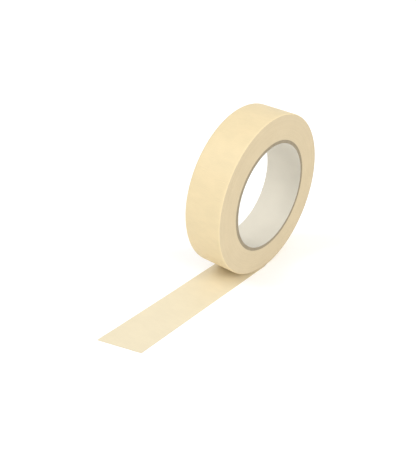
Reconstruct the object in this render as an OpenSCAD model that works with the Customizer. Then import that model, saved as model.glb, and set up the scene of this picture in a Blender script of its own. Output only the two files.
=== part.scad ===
// Roll of masking tape standing on its rim, with a length of tape paid out along the floor.
// Millimetres. The roll's axle is the Y axis and the origin is the middle of the bore, so the
// floor is at z = -roll_r. The tape leaves the roll under it and runs towards -X.

/* [Core] */
// Bore of the paper core, the usual three inch size
bore_d = 76.2; // [25.4:0.1:90]
// Thickness of the white paper liner in the bore
liner_t = 0.4; // [0.2:0.05:0.8]
// Thickness of one kraft ply of the core
ply_t = 0.6; // [0.3:0.05:0.9]
// Number of kraft plies
ply_count = 4; // [2:1:6]

/* [Tape] */
// Width of the tape, and of the core slit with it
tape_w = 29.2; // [12:0.1:75]
// Outside diameter over the outermost turn
roll_d = 118.4; // [104:0.1:160]
// Thickness of the creped paper backing
backing_t = 0.085; // [0.07:0.005:0.2]
// Thickness of the adhesive coat
adhesive_t = 0.03; // [0.02:0.005:0.06]

/* [Tail] */
// Length lying on the floor, from the line below the axle to the middle of the cut
tail_len = 137; // [110:1:220]
// How far past that line the tape stays flat under the roll, pressed down by its weight
flat_half = 2; // [1:0.5:3]
// How much longer the far edge (+Y) is than the near edge, because the cut is oblique
cut_skew = 9; // [0:0.5:20]
// How far beyond the rim of the roll the line lies where the free end bends up
bend_out = 4.8; // [3:0.1:15]

/* [Clearances] */
// Radial running clearance between the wound turns and the outermost turn
wrap_gap = 0.05; // [0.03:0.01:0.1]
// Height from the top of the tail to the lap edge of the outermost turn above it
lap_gap = 0.1; // [0.05:0.05:0.5]
// Gap between the fixed part of the tail and its free end
bend_gap = 0.05; // [0.02:0.01:0.2]

/* [Hidden] */
$fn = 180;
bore_r = bore_d / 2;
liner_r = bore_r + liner_t;
core_r = liner_r + ply_count * ply_t;
roll_r = roll_d / 2;
tape_t = backing_t + adhesive_t;
turn_r = roll_r - tape_t;
pack_r = turn_r - wrap_gap;
bend_x = roll_r + bend_out;
floor_z = -roll_r;
adhesive_z = floor_z + backing_t;
// Angle from the bottom of the roll to where the outermost turn starts, at the end of the flat
start_angle = asin(flat_half / turn_r);
// Angle at the bottom of the roll that the outermost turn leaves open above the tail
lap_angle = acos(1 - (tape_t + lap_gap) / roll_r);
// Overshoot of a cutter past the faces it cuts
overshoot = 1;

KRAFT_PLIES = [for (i = [1:ply_count]) str("core_ply_", i)];

// Tube about the Y axis, as wide as the tape
module tube(inner_r, outer_r) {
    rotate([90, 0, 0])
        difference() {
            cylinder(h = tape_w, r = outer_r, center = true);
            cylinder(h = tape_w + 2 * overshoot, r = inner_r, center = true);
        }
}

// White paper that lines the bore
module core_liner() {
    color("ivory") tube(bore_r, liner_r);
}

// One of the kraft plies, counted outwards from the liner
module core_ply(i) {
    color("burlywood") tube(liner_r + (i - 1) * ply_t, liner_r + i * ply_t);
}

// All the turns of tape under the outermost one
module wound_turns() {
    color("wheat") tube(core_r, pack_r);
}

// The outermost turn: it starts at the end of the flat and goes up the +X side and over the top
module outer_turn() {
    color("moccasin")
        rotate([90, 0, 0])
            rotate([0, 0, start_angle - 90])
                rotate_extrude(angle = 360 - start_angle - lap_angle)
                    translate([turn_r, -tape_w / 2])
                        square([tape_t, tape_w]);
}

// Plan of the tape on the floor from under the roll to the oblique cut
module tail_plan() {
    polygon([
        [flat_half, -tape_w / 2],
        [flat_half, tape_w / 2],
        [-(tail_len + cut_skew / 2), tape_w / 2],
        [-(tail_len - cut_skew / 2), -tape_w / 2]
    ]);
}

// Plan of the part of the tail between the roll and the bend
module fixed_plan() {
    intersection() {
        tail_plan();
        translate([-(bend_x - bend_gap), -tape_w / 2])
            square([bend_x - bend_gap + flat_half, tape_w]);
    }
}

// Plan of the free end beyond the bend
module free_plan() {
    difference() {
        tail_plan();
        translate([-bend_x, -tape_w / 2 - overshoot])
            square([bend_x + flat_half + overshoot, tape_w + 2 * overshoot]);
    }
}

// A flat layer of the tail whose underside is at height z
module layer(z, thickness) {
    translate([0, 0, z])
        linear_extrude(height = thickness)
            children();
}

// Paper backing of the tail, on the floor from the roll to the bend
module tail_backing() {
    color("wheat") layer(floor_z, backing_t) fixed_plan();
}

// Adhesive coat on top of the tail's backing
module tail_adhesive() {
    color("cornsilk") layer(adhesive_z, adhesive_t) fixed_plan();
}

// Paper backing of the free end, as far as the oblique cut
module free_end_backing() {
    color("wheat") layer(floor_z, backing_t) free_plan();
}

// Adhesive coat on top of the free end's backing
module free_end_adhesive() {
    color("cornsilk") layer(adhesive_z, adhesive_t) free_plan();
}

core_liner();
for (i = [1:ply_count]) core_ply(i);
wound_turns();
outer_turn();
tail_backing();
tail_adhesive();
free_end_backing();
free_end_adhesive();
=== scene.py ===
"""Looks of a roll of masking tape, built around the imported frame.

Metres. The roll's axle is the Y axis, the floor is under the tail, and the tail runs towards -X.
Every size comes from the frame's nodes; the values below are only the detail that the frame leaves
out, such as the rounding of edges and the relief of creped paper.
"""

import math

import bmesh
import bpy
import numpy as np
from mathutils import Matrix, Vector


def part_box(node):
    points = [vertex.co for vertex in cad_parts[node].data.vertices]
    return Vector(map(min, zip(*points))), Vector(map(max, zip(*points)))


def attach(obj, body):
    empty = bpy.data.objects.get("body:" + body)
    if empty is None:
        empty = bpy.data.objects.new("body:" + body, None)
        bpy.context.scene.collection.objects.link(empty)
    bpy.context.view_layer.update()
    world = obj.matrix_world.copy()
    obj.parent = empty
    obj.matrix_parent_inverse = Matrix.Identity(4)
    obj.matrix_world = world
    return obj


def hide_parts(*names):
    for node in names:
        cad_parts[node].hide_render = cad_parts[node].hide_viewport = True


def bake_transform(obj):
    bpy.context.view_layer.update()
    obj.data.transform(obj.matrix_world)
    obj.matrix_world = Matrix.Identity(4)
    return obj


MM = 0.001
TURN = 2 * math.pi

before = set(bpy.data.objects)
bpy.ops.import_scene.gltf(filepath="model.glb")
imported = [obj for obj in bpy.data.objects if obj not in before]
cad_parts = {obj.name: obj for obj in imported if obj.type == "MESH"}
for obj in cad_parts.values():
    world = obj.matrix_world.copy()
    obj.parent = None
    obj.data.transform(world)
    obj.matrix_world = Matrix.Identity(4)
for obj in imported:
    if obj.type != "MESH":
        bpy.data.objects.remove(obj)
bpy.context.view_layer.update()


# ---------------------------------------------------------------- sizes, read from the frame


def corners(node):
    """The vertices of a CAD node, one row each."""
    return np.array([v.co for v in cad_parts[node].data.vertices])


def radii(node):
    """Inner and outer radius of a CAD node about the roll's axle."""
    co = corners(node)
    r = np.hypot(co[:, 0], co[:, 2])
    return float(r.min()), float(r.max())


def cut_at(side):
    """How far down the tail the oblique cut meets its near edge (-1) or its far edge (1)."""
    co = corners("free_end_backing")
    return -float(co[co[:, 1] * side > 0, 0].min())


def open_angle():
    """Angle at the bottom of the roll that the outermost turn leaves open over the tail."""
    co = corners("outer_turn")
    co = co[(co[:, 0] < 0) & (co[:, 2] < 0)]
    return float(np.arctan2(-co[:, 0], -co[:, 2]).min())


PLIES = sorted(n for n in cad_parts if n.startswith("core_ply_"))
BORE_R, LINER_R = radii("core_liner")
CORE_R = radii(PLIES[-1])[1]
PACK_R = radii("wound_turns")[1]
TURN_R, ROLL_R = radii("outer_turn")
TAPE_T = ROLL_R - TURN_R
HALF_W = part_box("outer_turn")[1].y
FLOOR_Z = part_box("tail_backing")[0].z
BACKING_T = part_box("tail_backing")[1].z - FLOOR_Z
NEAR_CUT = cut_at(-1)
FAR_CUT = cut_at(1)
LAP_ANGLE = open_angle()

# Along the strip, from the line under the axle: positive down the tail, negative up the turn
TAIL_END = (NEAR_CUT + FAR_CUT) / 2
LAP_START = -ROLL_R * (TURN - LAP_ANGLE)

# ---------------------------------------------------------------- detail the frame leaves out

# The strip
EDGE_R = 1.4 * MM  # rounding between the rim and the sides of the roll
ROUND_RUN = 6 * MM  # length of strip over which its long edges go from flat to rounded
MIDDLE_COLUMNS = 10  # columns of vertices across the flat of the strip
LIP_COLUMNS = 5  # columns across each rounded edge
CREPE_PITCH = 0.75 * MM  # mean distance between two crepe ridges
CREPE_H = 0.036 * MM  # height of the ridges on the backing
INNER_CREPE_H = 0.3 * CREPE_H  # height of the ridges on the backing's coated side
COAT_CREPE_H = 0.6 * CREPE_H  # height of the ridges on the adhesive coat
CREPE_STEP = 0.205 * MM  # spacing of the rows that carry the ridges
ADHESIVE_START = -4 * MM  # where the modelled coat starts, out of sight under the roll
LAP_RUN = 12 * MM  # length over which the strip thins out at the lap
LAP_T = 0.01 * MM  # thickness that is left at the lap
CUT_LEAN = 25 * MM  # length of tail over which the rows lean to meet the oblique cut
CUT_ROUGH = 0.06 * MM  # unevenness of the cut
CUT_TOOTH = 0.8 * MM  # width of one tooth of that unevenness
SWELL_H = 0.16 * MM  # how far the tail rises off the floor in places
TIP_H = 0.22 * MM  # how much more it rises at the cut
TIP_RUN = 14 * MM  # length of tail over which the cut end rises
FIRST_RISE = 8 * MM  # where the tail may first leave the floor
RISE_RUN = 15 * MM  # length over which it may do so fully

# The wound turns
TURN_SEGMENTS = 144  # steps round one turn
ROWS_PER_TURN = 2  # a crest and a valley
LAYER_RELIEF = 0.03 * MM  # how far the edge of one turn stands out from the next
SIDE_WAVE = 0.07 * MM  # slow in and out of the side faces, over bands of turns
SHOULDER = 3 * MM  # width over which the side face leans in before the rounded edge

# The core
PLY_SEGMENTS = 288  # steps round a ply
PLY_EDGE = 0.05 * MM  # softening of a ply's edges
PLY_ROUGH = 0.12 * MM  # unevenness of a ply's cut ends
PLY_END_ROWS = 5  # rows across a ply's cut end
LINER_SEGMENTS = 360  # steps round the liner
LINER_ROWS = 25  # rows along the bore
LINER_EDGE = 0.12 * MM  # softening of the liner's inner edges
LINER_ROUGH = 0.05 * MM  # unevenness of the liner's cut ends
LINER_WAVE = 0.02 * MM  # slow unevenness of the bore
SEAM_DEPTH = 0.05 * MM  # depth of the liner's seam
SEAM_HALF_W = 0.5 * MM  # half the width of the seam
SEAM_ANGLE = 2.1  # radians from the bottom of the roll to the seam, half way along the bore
SEAM_LEAD = 3.6  # radians that the seam turns over the width


# ---------------------------------------------------------------- noise and meshes


def value_noise(u, v, seed, cells=(64, 64)):
    """Smooth noise from -1 to 1. u and v count lattice cells, and the lattice repeats after cells."""
    grid = np.random.RandomState(seed).uniform(-1, 1, cells)
    u, v = np.broadcast_arrays(np.asarray(u, float), np.asarray(v, float))
    iu, iv = np.floor(u).astype(int), np.floor(v).astype(int)
    fu, fv = u - iu, v - iv
    fu, fv = fu * fu * (3 - 2 * fu), fv * fv * (3 - 2 * fv)
    iu0, iu1 = iu % cells[0], (iu + 1) % cells[0]
    iv0, iv1 = iv % cells[1], (iv + 1) % cells[1]
    low = grid[iu0, iv0] * (1 - fu) + grid[iu1, iv0] * fu
    high = grid[iu0, iv1] * (1 - fu) + grid[iu1, iv1] * fu
    return low * (1 - fv) + high * fv


def ease(t):
    """0 below 0, 1 above 1, and smooth between."""
    t = np.clip(t, 0, 1)
    return t * t * (3 - 2 * t)


def make_piece(name, points, faces, material, values=None, crease=35):
    """A mesh object from vertices and faces, its normals outwards, with named numbers per vertex."""
    mesh = bpy.data.meshes.new(name)
    mesh.from_pydata(np.asarray(points, float).reshape(-1, 3).tolist(), [], faces)
    for key, numbers in (values or {}).items():
        layer = mesh.attributes.new(key, "FLOAT", "POINT")
        layer.data.foreach_set("value", np.asarray(numbers, np.float32).ravel())
    bm = bmesh.new()
    bm.from_mesh(mesh)
    bmesh.ops.recalc_face_normals(bm, faces=bm.faces)
    bm.to_mesh(mesh)
    bm.free()
    mesh.polygons.foreach_set("use_smooth", [True] * len(mesh.polygons))
    mesh.set_sharp_from_angle(angle=math.radians(crease))
    mesh.materials.append(material)
    obj = bpy.data.objects.new(name, mesh)
    bpy.context.scene.collection.objects.link(obj)
    return obj


def ring_faces(segments, profile):
    """Quads of a tube closed both ways, for vertices laid out segment by segment."""
    i, j = np.meshgrid(np.arange(segments), np.arange(profile), indexing="ij")
    after, up = (i + 1) % segments, (j + 1) % profile
    quads = [i * profile + j, after * profile + j, after * profile + up, i * profile + up]
    return np.stack(quads, -1).reshape(-1, 4).tolist()


def slab_faces(rows, columns):
    """Quads of a closed slab: a lower grid of vertices, then an upper one of the same layout."""

    def grid(start):
        i, j = np.meshgrid(np.arange(rows - 1), np.arange(columns - 1), indexing="ij")
        a = start + i * columns + j
        return np.stack([a, a + columns, a + columns + 1, a + 1], -1).reshape(-1, 4)

    upper = rows * columns
    edge = list(range(columns))
    edge += [i * columns + columns - 1 for i in range(1, rows)]
    edge += [(rows - 1) * columns + j for j in range(columns - 2, -1, -1)]
    edge += [i * columns for i in range(rows - 2, 0, -1)]
    edge = np.array(edge)
    after = np.roll(edge, -1)
    sides = np.stack([edge, after, after + upper, edge + upper], -1)
    return np.concatenate([grid(0), grid(upper)[:, ::-1], sides]).tolist()


def around(radius, angle, y):
    """Points about the axle; the angle is 0 at the bottom and grows towards +X."""
    radius, angle, y = np.broadcast_arrays(radius, angle, y)
    return np.stack([radius * np.sin(angle), y, -radius * np.cos(angle)], -1)


# ---------------------------------------------------------------- materials


class Nodes:
    """Short calls for building one material's nodes."""

    def __init__(self, name, **sockets):
        self.material = bpy.data.materials.new(name)
        self.material.use_nodes = True
        self.tree = self.material.node_tree
        self.shader = self.tree.nodes["Principled BSDF"]
        for socket, value in sockets.items():
            self.shader.inputs[socket.replace("_", " ")].default_value = value

    def add(self, kind, **settings):
        node = self.tree.nodes.new(kind)
        for key, value in settings.items():
            setattr(node, key, value)
        return node

    def link(self, source, target):
        self.tree.links.new(source, target)

    def value(self, name):
        """A number stored on the mesh."""
        return self.add("ShaderNodeAttribute", attribute_name=name).outputs["Fac"]

    def math(self, operation, a, b=0.0):
        """A sum on two numbers, each a plain number or a node's output."""
        node = self.add("ShaderNodeMath", operation=operation)
        for socket, x in zip(node.inputs, (a, b)):
            if isinstance(x, (int, float)):
                socket.default_value = x
            else:
                self.link(x, socket)
        return node.outputs[0]

    def vector(self, x, y):
        """A place for a noise, from two plain numbers or nodes' outputs."""
        node = self.add("ShaderNodeCombineXYZ")
        for socket, part in zip(node.inputs, (x, y)):
            if isinstance(part, (int, float)):
                socket.default_value = part
            else:
                self.link(part, socket)
        return node.outputs[0]

    def place(self):
        """Position in the object's own space."""
        return self.add("ShaderNodeTexCoord").outputs["Object"]

    def noise(self, vector, scale, detail=3.0, rough=0.5):
        """Noise from 0 to 1, with scale cells to each unit of the vector."""
        node = self.add("ShaderNodeTexNoise")
        node.inputs["Scale"].default_value = scale
        node.inputs["Detail"].default_value = detail
        node.inputs["Roughness"].default_value = rough
        self.link(vector, node.inputs["Vector"])
        return node.outputs[0]

    def strip_noise(self, cells, detail):
        """Noise that lies on the strip, given as cells per metre along it and across it."""
        along = self.math("MULTIPLY", self.value("along"), cells[0])
        across = self.math("MULTIPLY", self.value("across"), cells[1])
        return self.noise(self.vector(along, across), 1.0, detail)

    def spread(self, source, low, high, to_low=0.0, to_high=1.0):
        """A source between low and high, carried over to between to_low and to_high."""
        node = self.add("ShaderNodeMapRange")
        self.link(source, node.inputs["Value"])
        for key, x in (("From Min", low), ("From Max", high), ("To Min", to_low), ("To Max", to_high)):
            node.inputs[key].default_value = x
        return node.outputs[0]

    def mix(self, share, a, b):
        """Colour a where share is 0 and b where it is 1."""
        node = self.add("ShaderNodeMix", data_type="RGBA")
        self.link(share, node.inputs["Factor"])
        for socket, colour in ((node.inputs["A"], a), (node.inputs["B"], b)):
            if isinstance(colour, tuple):
                socket.default_value = (*colour, 1)
            else:
                self.link(colour, socket)
        return node.outputs["Result"]

    def tint(self, colour, other, share, source, low, high):
        """The colour, with up to this share of another as the source goes from low to high."""
        return self.mix(self.spread(source, low, high, 0.0, share), colour, other)

    def finish(self, colour, roughness, height, depth, strength):
        """Links the colour, roughness and height to the shader and hands back the material."""
        self.link(colour, self.shader.inputs["Base Color"])
        self.link(roughness, self.shader.inputs["Roughness"])
        bump = self.add("ShaderNodeBump")
        bump.inputs["Distance"].default_value = depth
        bump.inputs["Strength"].default_value = strength
        self.link(height, bump.inputs["Height"])
        self.link(bump.outputs["Normal"], self.shader.inputs["Normal"])
        return self.material


BACKING_COLOUR = (0.745, 0.609, 0.371)
BACKING_THIN = (0.711, 0.589, 0.36)
ADHESIVE_COLOUR = (0.777, 0.685, 0.488)
SIDE_COLOUR = (0.531, 0.44, 0.29)
KRAFT_COLOUR = (0.25, 0.21, 0.145)
LINER_COLOUR = (0.625, 0.59, 0.503)
FLOOR_COLOUR = (0.97, 0.97, 0.97)
FLOOR_SHADE = (0.95, 0.95, 0.95)
FLOOR_GLOW = 0.1

# Cells per metre of the noises on the strip, along it and across it
BACKING_WRINKLE = (2400.0, 260.0)
BACKING_FIBRE = (5000.0, 2600.0)
BACKING_CLOUD = (90.0, 60.0)
ADHESIVE_WRINKLE = (1700.0, 200.0)
ADHESIVE_CLOUD = (70.0, 60.0)
ADHESIVE_SPECK = (1500.0, 1500.0)

# Cells per turn of the noises that follow the wound turns
BAND_CELLS = 0.09
SINGLE_CELLS = 1.3
SINGLE_OFFSET = 4.0  # keeps the two noises apart

# Cells per metre of the noises in space
SIDE_BLOTCH = 70.0
SIDE_GRAIN = 5200.0
KRAFT_FIBRE = 3000.0
KRAFT_PATCH = 260.0
LINER_FIBRE = 2600.0
LINER_CLOUD = 55.0
FLOOR_CLOUD = 3.0
FLOOR_GRAIN = 900.0


def dimmed(colour, share):
    """The colour times a share, which may be more than 1."""
    return tuple(share * c for c in colour)


def backing_material():
    """Creped, saturated paper: fibres and fine wrinkles that run across the tape, with painted shade in
    the crepe's valleys and along the long edges.
    """
    n = Nodes("creped_backing", Specular_IOR_Level=0.35, Sheen_Weight=0.05)
    wrinkle = n.strip_noise(BACKING_WRINKLE, 4.0)
    fibre = n.strip_noise(BACKING_FIBRE, 3.0)
    cloud = n.strip_noise(BACKING_CLOUD, 3.0)
    edge_distance_for_painted_shade = n.math("ABSOLUTE", n.value("across"))
    colour = n.mix(n.spread(cloud, 0.3, 0.7), BACKING_THIN, BACKING_COLOUR)
    colour = n.tint(colour, dimmed(BACKING_COLOUR, 1.08), 0.35, wrinkle, 0.35, 0.75)
    colour = n.tint(colour, dimmed(BACKING_THIN, 0.86), 0.25, fibre, 0.6, 0.8)
    # Painted shade: the crepe's valleys are darkened, as if shaded
    colour = n.tint(colour, dimmed(BACKING_THIN, 0.84), 0.5, n.value("ridge"), 0.75, 0.0)
    # Painted shade: darker towards the tape's long edges, to tone down the light on the roll's rounded
    # edge
    colour = n.tint(colour, dimmed(BACKING_THIN, 0.82), 0.3, edge_distance_for_painted_shade, HALF_W - EDGE_R, HALF_W)
    roughness = n.spread(wrinkle, 0.3, 0.7, 0.62, 0.48)
    height = n.math("ADD", wrinkle, n.math("MULTIPLY", fibre, 0.4))
    return n.finish(colour, roughness, height, depth=0.03 * MM, strength=0.6)


def adhesive_material():
    """The coated side: the same crepe under a thin tacky film with a soft gloss."""
    n = Nodes("adhesive_coat", Specular_IOR_Level=0.4, Coat_Weight=0.12, Coat_Roughness=0.3)
    wrinkle = n.strip_noise(ADHESIVE_WRINKLE, 3.0)
    cloud = n.strip_noise(ADHESIVE_CLOUD, 3.0)
    speck = n.strip_noise(ADHESIVE_SPECK, 2.0)
    colour = n.mix(n.spread(cloud, 0.3, 0.7), dimmed(ADHESIVE_COLOUR, 0.96), ADHESIVE_COLOUR)
    colour = n.tint(colour, dimmed(ADHESIVE_COLOUR, 1.05), 0.3, wrinkle, 0.35, 0.75)
    colour = n.tint(colour, dimmed(ADHESIVE_COLOUR, 0.85), 0.3, speck, 0.66, 0.8)
    # Painted shade: the crepe's valleys are darkened, as if shaded
    colour = n.tint(colour, dimmed(ADHESIVE_COLOUR, 0.84), 0.35, n.value("ridge"), 0.75, 0.0)
    roughness = n.spread(cloud, 0.3, 0.7, 0.36, 0.48)
    return n.finish(colour, roughness, wrinkle, depth=0.02 * MM, strength=0.5)


def side_material():
    """Cut edges of the turns: a line for each turn, tinted in slow bands by how tightly it was wound."""
    n = Nodes("wound_edges", Specular_IOR_Level=0.2)
    layer = n.value("layer")
    place = n.place()
    band = n.noise(n.vector(n.math("MULTIPLY", layer, BAND_CELLS), 0.0), 1.0, 4.0, 0.6)
    single = n.noise(n.vector(n.math("MULTIPLY", layer, SINGLE_CELLS), SINGLE_OFFSET), 1.0, 1.0)
    blotch = n.noise(place, SIDE_BLOTCH, 4.0)
    grain = n.noise(place, SIDE_GRAIN, 2.0)
    bond = n.math("PINGPONG", layer, 0.5)
    colour = n.mix(n.spread(band, 0.35, 0.65), dimmed(SIDE_COLOUR, 0.95), dimmed(SIDE_COLOUR, 1.03))
    colour = n.tint(colour, dimmed(SIDE_COLOUR, 0.9), 0.4, single, 0.4, 0.8)
    colour = n.tint(colour, dimmed(SIDE_COLOUR, 1.06), 0.5, blotch, 0.4, 0.7)
    colour = n.tint(colour, dimmed(SIDE_COLOUR, 0.8), 0.35, bond, 0.3, 0.5)
    colour = n.tint(colour, dimmed(SIDE_COLOUR, 1.1), 0.4, grain, 0.55, 0.8)
    roughness = n.spread(single, 0.3, 0.7, 0.68, 0.82)
    return n.finish(colour, roughness, grain, depth=0.03 * MM, strength=0.5)


def kraft_material():
    """Cut end of kraft board: short grey-brown fibres, some of them paler."""
    n = Nodes("kraft_board", Specular_IOR_Level=0.15)
    place = n.place()
    fibre = n.noise(place, KRAFT_FIBRE, 4.0, 0.6)
    patch = n.noise(place, KRAFT_PATCH, 3.0)
    colour = n.mix(n.spread(patch, 0.3, 0.7), dimmed(KRAFT_COLOUR, 0.9), dimmed(KRAFT_COLOUR, 1.1))
    colour = n.tint(colour, dimmed(KRAFT_COLOUR, 1.45), 0.6, fibre, 0.45, 0.75)
    roughness = n.spread(fibre, 0.3, 0.7, 0.95, 0.82)
    return n.finish(colour, roughness, fibre, depth=0.08 * MM, strength=0.8)


def liner_material():
    """Smooth white paper with a faint grain, with painted shade that darkens its cut ends."""
    n = Nodes("liner_paper", Specular_IOR_Level=0.3, Sheen_Weight=0.05)
    place = n.place()
    fibre = n.noise(place, LINER_FIBRE, 4.0, 0.6)
    cloud = n.noise(place, LINER_CLOUD, 3.0)
    colour = n.mix(n.spread(cloud, 0.3, 0.7), dimmed(LINER_COLOUR, 0.97), dimmed(LINER_COLOUR, 1.02))
    colour = n.tint(colour, dimmed(LINER_COLOUR, 0.9), 0.35, fibre, 0.5, 0.8)
    # Painted shade: the liner's cut ends are darkened, as if shaded
    colour = n.mix(n.value("cut_end"), colour, dimmed(LINER_COLOUR, 0.66))
    roughness = n.spread(fibre, 0.3, 0.7, 0.66, 0.54)
    return n.finish(colour, roughness, fibre, depth=0.02 * MM, strength=0.5)


def floor_material():
    """A plain pale ground that gives off a little light of its own, as a light table does."""
    n = Nodes("pale_floor", Specular_IOR_Level=0.1, Emission_Strength=FLOOR_GLOW)
    n.shader.inputs["Emission Color"].default_value = (1, 1, 1, 1)
    place = n.place()
    cloud = n.noise(place, FLOOR_CLOUD)
    grain = n.noise(place, FLOOR_GRAIN)
    colour = n.mix(cloud, FLOOR_SHADE, FLOOR_COLOUR)
    roughness = n.spread(grain, 0.3, 0.7, 0.85, 0.95)
    return n.finish(colour, roughness, grain, depth=0.01 * MM, strength=0.2)


# ---------------------------------------------------------------- the strip: outermost turn and tail


def crepe(along, across):
    """Height of the crepe, 0 to 1: ridges across the tape that wander and fade. The lengths are the
    cells of each noise, along and across the tape."""
    along, across = np.broadcast_arrays(along, across)
    slow = value_noise(along / (4 * MM), across / (7 * MM), seed=11)
    drift = value_noise(along / (1.5 * MM), across / (3.5 * MM), seed=12)
    phase = along / CREPE_PITCH + 0.9 * slow + 0.45 * drift
    height = 0.5 + 0.5 * np.cos(TURN * phase)
    fade = 0.65 + 0.35 * value_noise(along / (2.2 * MM), across / (5 * MM), seed=13)
    return height * fade


def strip_columns():
    """Places across the tape, closer together where the outermost turn rounds its edges."""
    flat = HALF_W - EDGE_R
    middle = np.linspace(-flat, flat, MIDDLE_COLUMNS)
    lip = flat + EDGE_R * np.linspace(1 / LIP_COLUMNS, 1.0, LIP_COLUMNS)
    return np.concatenate([-lip[::-1], middle, lip])


def on_strip(along, across, depth):
    """Points of the strip; depth is measured from the side that faces the floor."""
    flat_w = HALF_W - EDGE_R
    lip = np.clip((np.abs(across) - flat_w) / EDGE_R, 0, None)
    y_round = np.sign(across) * (flat_w + (EDGE_R - depth) * np.sin(lip))
    drop_round = depth + (EDGE_R - depth) * (1 - np.cos(lip))
    y_bent = np.where(lip > 0, y_round, across)
    drop_bent = np.where(lip > 0, drop_round, depth)
    bent = ease(-along / ROUND_RUN)  # the edges are only rounded on the roll
    y = across + (y_bent - across) * bent
    drop = depth + (drop_bent - depth) * bent
    angle = np.clip(-along, 0, None) / ROLL_R
    on_roll = around(ROLL_R - drop, angle, y)
    on_floor = np.stack(np.broadcast_arrays(-along, y, FLOOR_Z + drop), -1)
    return np.where((along < 0)[..., None], on_roll, on_floor)


def strip_grid(start, columns):
    """Rows along the strip from start to the oblique cut, which the last rows lean over to meet."""
    rows = int(round((TAIL_END - start) / CREPE_STEP))
    along = np.linspace(start, TAIL_END, rows)[:, None]
    across = columns[None, :]
    slant = (FAR_CUT - NEAR_CUT) / 2 * across / HALF_W
    rough = CUT_ROUGH * value_noise(across / CUT_TOOTH, 0.0, seed=21)
    lean = ease((along - (TAIL_END - CUT_LEAN)) / CUT_LEAN)
    return np.broadcast_arrays(along + lean * (slant + rough), across)


def tail_lift(along, across):
    """The tail doesn't lie dead flat: it rises by a hair in places, and a little more at the cut."""
    swell = 0.5 + 0.5 * value_noise(along / (24 * MM), across / (18 * MM), seed=31)
    tip = ease((along - (TAIL_END - TIP_RUN)) / TIP_RUN)
    return ease((along - FIRST_RISE) / RISE_RUN) * (SWELL_H * swell + TIP_H * tip)


def strip_layer(name, low, high, start, relief_low, relief_high, material):
    """One layer of the strip as a closed slab, between two depths, from start to the cut."""
    along, across = strip_grid(start, strip_columns())
    ridge = crepe(along, across)
    hollow = 1 - ridge
    lap = ease((along - LAP_START) / LAP_RUN)
    under = low * lap + (1 - lap) * (TAPE_T - LAP_T) + relief_low * ridge * lap
    over = high * lap + (1 - lap) * TAPE_T - relief_high * hollow * lap
    layers = [on_strip(along, across, depth) for depth in (under, over)]
    lift = tail_lift(along, across)
    for layer in layers:
        layer[..., 2] += lift
    rows, columns = along.shape
    values = {
        "along": np.stack([along, along]),
        "across": np.stack([across, across]),
        # The materials use ridge to darken the crepe's valleys as painted shade
        "ridge": np.stack([hollow, ridge if relief_low == 0 else hollow]),
    }
    return make_piece(name, np.stack(layers), slab_faces(rows, columns), material, values)


def tape_backing(material):
    """The creped paper of the outermost turn and of the whole tail, one strip."""
    piece = strip_layer("tape_backing", 0.0, BACKING_T, LAP_START, CREPE_H, INNER_CREPE_H, material)
    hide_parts("outer_turn", "tail_backing", "free_end_backing")
    return piece


def tape_adhesive(material):
    """The adhesive coat, uppermost on the tail."""
    piece = strip_layer("tape_adhesive", BACKING_T, TAPE_T, ADHESIVE_START, 0.0, COAT_CREPE_H, material)
    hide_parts("tail_adhesive", "free_end_adhesive")
    return piece


# ---------------------------------------------------------------- the wound turns


def side_y(radius, angle, crest, turn):
    """How far out the side face lies: flat, with the roll's rounded edge and each turn's own relief."""
    corner_r = EDGE_R - (ROLL_R - PACK_R)
    corner_at = PACK_R - corner_r
    base = HALF_W - (EDGE_R - corner_r) * ease((radius - corner_at + SHOULDER) / SHOULDER)
    fall = np.clip((radius - corner_at) / corner_r, 0, 1)
    base = base - corner_r * (1 - np.sqrt(1 - fall**2))
    lap = angle / TURN
    wide = value_noise(turn / 14, lap * 6, seed=41, cells=(64, 6))
    narrow = value_noise(turn / 4, lap * 9, seed=42, cells=(64, 9))
    single = value_noise(np.floor(turn) * 0.77, lap * 12, seed=43, cells=(211, 12))
    # Each noise is shifted to lie below 0, because relief only ever goes inwards
    relief = SIDE_WAVE * (wide + 0.5 * narrow - 1.5) / 3 + LAYER_RELIEF * (single - 1) / 2
    valley = np.where(crest, 0.0, -LAYER_RELIEF)
    smooth = ease((fall - 0.2) / 0.3)  # no relief on the rounded edge
    return base + (1 - smooth) * (relief + valley)


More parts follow.
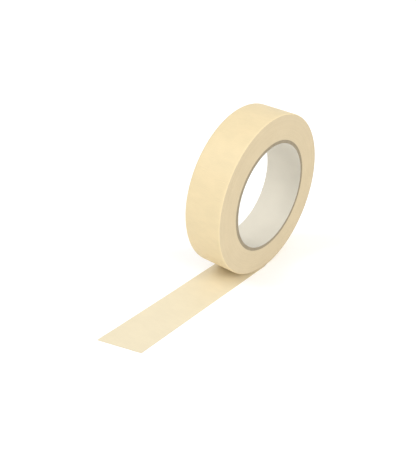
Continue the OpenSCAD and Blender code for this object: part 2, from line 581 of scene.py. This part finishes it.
class SideFace:
    """One side face of the wound turns. Its rows follow the strip as it spirals: a crest and a valley
    to each turn, each climbing one turn in one lap. A circle of vertices closes it at either radius."""

    def __init__(self, side, start):
        self.start = start
        self.turns = int((PACK_R - CORE_R) / TAPE_T)
        self.last = ROWS_PER_TURN * (self.turns - 1)
        self.make_points(side)
        self.make_faces()

    def make_points(self, side):
        """The rows of the spiral, then the two circles. The number of a vertex's turn goes with it."""
        step = TURN / TURN_SEGMENTS
        row, column = np.meshgrid(np.arange(self.last + 1), np.arange(TURN_SEGMENTS), indexing="ij")
        extra = self.last + 1 + np.arange(ROWS_PER_TURN)  # rows that only exist where the strip ends
        row = np.concatenate([row.ravel(), extra])
        column = np.concatenate([column.ravel(), 0 * extra])
        turn = row / ROWS_PER_TURN + column / TURN_SEGMENTS
        radius = CORE_R + (PACK_R - CORE_R) / self.turns * turn
        angle = column * step
        seat = 300 * (side + 1)  # keeps the two sides' relief apart
        y = side * side_y(radius, angle, row % ROWS_PER_TURN == 0, turn + seat)
        circle = np.arange(1, TURN_SEGMENTS) * step
        inner_y = side_y(CORE_R, circle, True, seat + 0 * circle)
        spiral = around(radius, angle, y)
        inner = around(CORE_R, circle, side * inner_y)
        outer = around(PACK_R, circle, side * (HALF_W - EDGE_R))
        self.points = np.concatenate([spiral, inner, outer]).tolist()
        self.layers = turn.tolist() + [0.0] * len(inner) + [float(self.turns)] * len(outer)
        self.inner_at = self.start + len(spiral)
        self.outer_at = self.inner_at + len(inner)

    def at(self, row, column):
        """The vertex of a row at a segment; past the last segment a row becomes a later one."""
        if column == TURN_SEGMENTS:
            return self.at(row + ROWS_PER_TURN, 0)
        if row <= self.last:
            return self.start + row * TURN_SEGMENTS + column
        return self.start + (self.last + 1) * TURN_SEGMENTS + row - self.last - 1

    def make_faces(self):
        """Quads between the rows, and the strips of faces that join them to the two circles."""
        at, last = self.at, self.last
        final = TURN_SEGMENTS - 1
        self.inner = [at(0, 0), *range(self.inner_at, self.inner_at + final)]
        self.outer = [at(ROWS_PER_TURN * self.turns, 0), *range(self.outer_at, self.outer_at + final)]
        inner, outer = self.inner, self.outer
        faces = []
        for row in range(last):
            for column in range(TURN_SEGMENTS):
                after = column + 1
                faces.append([at(row, column), at(row, after), at(row + 1, after), at(row + 1, column)])
        faces.append([inner[0], inner[1], at(0, 1)])
        for column in range(1, final):
            after = column + 1
            faces.append([inner[column], inner[after], at(0, after), at(0, column)])
            faces.append([at(last, column), at(last, after), outer[after], outer[column]])
        first_rows = [at(row, 0) for row in range(ROWS_PER_TURN + 1)]
        last_rows = [at(last + row, 0) for row in range(ROWS_PER_TURN, 0, -1)]
        faces.append([inner[-1], *first_rows, at(0, final)])
        faces.append([at(last, 0), at(last, 1), outer[1], *last_rows])
        faces.append([at(last, final), outer[0], outer[-1]])
        self.faces = faces


def wound_tape(material):
    """Every turn under the outermost one: two side faces, joined in the bore and under the turn."""
    near = SideFace(-1, 0)
    far = SideFace(1, len(near.points))
    faces = near.faces + far.faces
    for a, b in ((near.inner, far.inner), (near.outer, far.outer)):
        for column in range(TURN_SEGMENTS):
            after = (column + 1) % TURN_SEGMENTS
            faces.append([a[column], a[after], b[after], b[column]])
    values = {"layer": near.layers + far.layers}
    piece = make_piece("wound_tape", near.points + far.points, faces, material, values, crease=60)
    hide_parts("wound_turns")
    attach(piece, "roll")


# ---------------------------------------------------------------- the core


def ply_tube(name, inner_r, outer_r, half_length, material, seed):
    """A paper tube with softened edges and slightly uneven cut ends."""
    angle = np.arange(PLY_SEGMENTS) * TURN / PLY_SEGMENTS
    radial = np.linspace(inner_r + PLY_EDGE, outer_r - PLY_EDGE, PLY_END_ROWS)
    shoulder = half_length - PLY_EDGE
    r = [inner_r, *radial, outer_r, outer_r, *radial[::-1], inner_r]
    y = [-shoulder] + [-half_length] * PLY_END_ROWS + [-shoulder]
    y += [shoulder] + [half_length] * PLY_END_ROWS + [shoulder]
    r, y = np.array(r)[None, :], np.array(y)[None, :]
    lap = angle[:, None] / TURN
    column = np.arange(r.shape[1])[None, :]
    half = PLY_SEGMENTS // 2
    uneven = value_noise(lap * half, column * 1.0, seed, cells=(half, 64))
    slow = value_noise(lap * 9, np.sign(y) + 3, seed + 1, cells=(9, 64))
    y = y * (1 - PLY_ROUGH * (0.5 + 0.25 * uneven + 0.25 * slow) / half_length)
    points = around(np.broadcast_to(r, y.shape), angle[:, None], y)
    return make_piece(name, points, ring_faces(PLY_SEGMENTS, r.shape[1]), material)


def core_plies(material):
    """The kraft plies, each a tube of its own, cut a touch unevenly."""
    for index, node in enumerate(PLIES):
        inner_r, outer_r = radii(node)
        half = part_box(node)[1].y
        seed = 50 + 3 * index
        piece = ply_tube(f"kraft_ply_{index + 1}", inner_r, outer_r, half, material, seed)
        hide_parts(node)
        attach(piece, "roll")


def bore_liner(material):
    """The white liner: a strip wound in a helix, with a fine lap seam and slightly softened ends."""
    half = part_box("core_liner")[1].y
    angle = np.arange(LINER_SEGMENTS)[:, None] * TURN / LINER_SEGMENTS
    lap = angle / TURN
    across = np.linspace(-half + LINER_EDGE, half - LINER_EDGE, LINER_ROWS)[None, :]
    seam_at = SEAM_ANGLE + SEAM_LEAD * across / (2 * half)
    off = (angle - seam_at + math.pi) % TURN - math.pi
    seam = SEAM_DEPTH * (1 - ease(np.abs(off) * BORE_R / SEAM_HALF_W))
    slow = LINER_WAVE * (1 + value_noise(lap * 14, across / (6 * MM), seed=71, cells=(14, 64)))
    rough = LINER_ROUGH * (1 + value_noise(lap * 180, 0.0, seed=72, cells=(180, 64)))
    end_r = np.array([BORE_R + LINER_EDGE, LINER_R])
    inner = around(BORE_R + seam + slow, angle, across)
    top = around(end_r[None, :], angle, half - rough)
    bottom = around(end_r[::-1][None, :], angle, -half + rough)
    points = np.concatenate([inner, top, bottom], axis=1)
    # The cut ends get painted shade in the liner's material
    cut_end = np.zeros(points.shape[:2])
    cut_end[:, LINER_ROWS:] = 1
    faces = ring_faces(LINER_SEGMENTS, points.shape[1])
    piece = make_piece("bore_liner", points, faces, material, {"cut_end": cut_end})
    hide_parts("core_liner")
    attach(piece, "roll")


# ---------------------------------------------------------------- stage, light and camera


def make_floor(half):
    """A plain pale floor, level with the underside of the tail."""
    mesh = bpy.data.meshes.new("floor")
    points = [(x * half, y * half, FLOOR_Z) for x, y in ((-1, -1), (1, -1), (1, 1), (-1, 1))]
    mesh.from_pydata(points, [], [(0, 1, 2, 3)])
    mesh.materials.append(floor_material())
    floor = bpy.data.objects.new("floor", mesh)
    bpy.context.scene.collection.objects.link(floor)


def make_sun(name, strength, azimuth, elevation, softness):
    """A soft light from far off. Its azimuth runs from +X towards +Y, and all angles are degrees."""
    data = bpy.data.lights.new(name, "SUN")
    data.energy = strength * math.pi
    data.angle = math.radians(softness)
    light = bpy.data.objects.new(name, data)
    a, e = math.radians(azimuth), math.radians(elevation)
    towards = Vector((math.cos(a) * math.cos(e), math.sin(a) * math.cos(e), math.sin(e)))
    light.rotation_euler = towards.to_track_quat("Z", "Y").to_euler()
    bpy.context.scene.collection.objects.link(light)


def make_world(strength):
    """Even white light from everywhere."""
    world = bpy.data.worlds.new("studio")
    world.use_nodes = True
    background = world.node_tree.nodes["Background"]
    background.inputs["Color"].default_value = (1, 1, 1, 1)
    background.inputs["Strength"].default_value = strength
    bpy.context.scene.world = world


def make_camera(azimuth, elevation, roll, distance, shift_right, shift_up, lens):
    """The photograph's viewpoint, in degrees and metres, with the lens in mm for a picture 36 mm high.
    The roll's middle lies off the picture's centre, so the camera stands off to one side of it."""
    a, e, t = (math.radians(x) for x in (azimuth, elevation, roll))
    back = Vector((math.sin(a) * math.cos(e), -math.cos(a) * math.cos(e), math.sin(e)))
    right = Vector((math.cos(a), math.sin(a), 0))
    up = back.cross(right)
    tilted_right = math.cos(t) * right + math.sin(t) * up
    tilted_up = -math.sin(t) * right + math.cos(t) * up
    data = bpy.data.cameras.new("camera")
    data.sensor_width = 36
    data.lens = lens
    data.clip_start = 0.01
    camera = bpy.data.objects.new("camera", data)
    turned = Matrix((tilted_right, tilted_up, back)).transposed().to_4x4()
    place = back * distance - tilted_right * shift_right - tilted_up * shift_up
    camera.matrix_world = Matrix.Translation(place) @ turned
    bpy.context.scene.collection.objects.link(camera)
    bpy.context.scene.camera = camera


make_camera(
    azimuth=-53.34,
    elevation=29.41,
    roll=3.27,
    distance=0.524,
    shift_right=32.50 * MM,
    shift_up=24.75 * MM,
    lens=59.0913,
)
make_floor(half=6.0)
make_world(strength=0.68)
make_sun("front", strength=0.60, azimuth=270, elevation=28, softness=35)
make_sun("back", strength=0.40, azimuth=138, elevation=47, softness=35)
bpy.context.scene.view_settings.view_transform = "Standard"

backing = tape_backing(backing_material())
adhesive = tape_adhesive(adhesive_material())
for layer in (backing, adhesive):
    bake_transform(layer)
wound_tape(side_material())
core_plies(kraft_material())
bore_liner(liner_material())
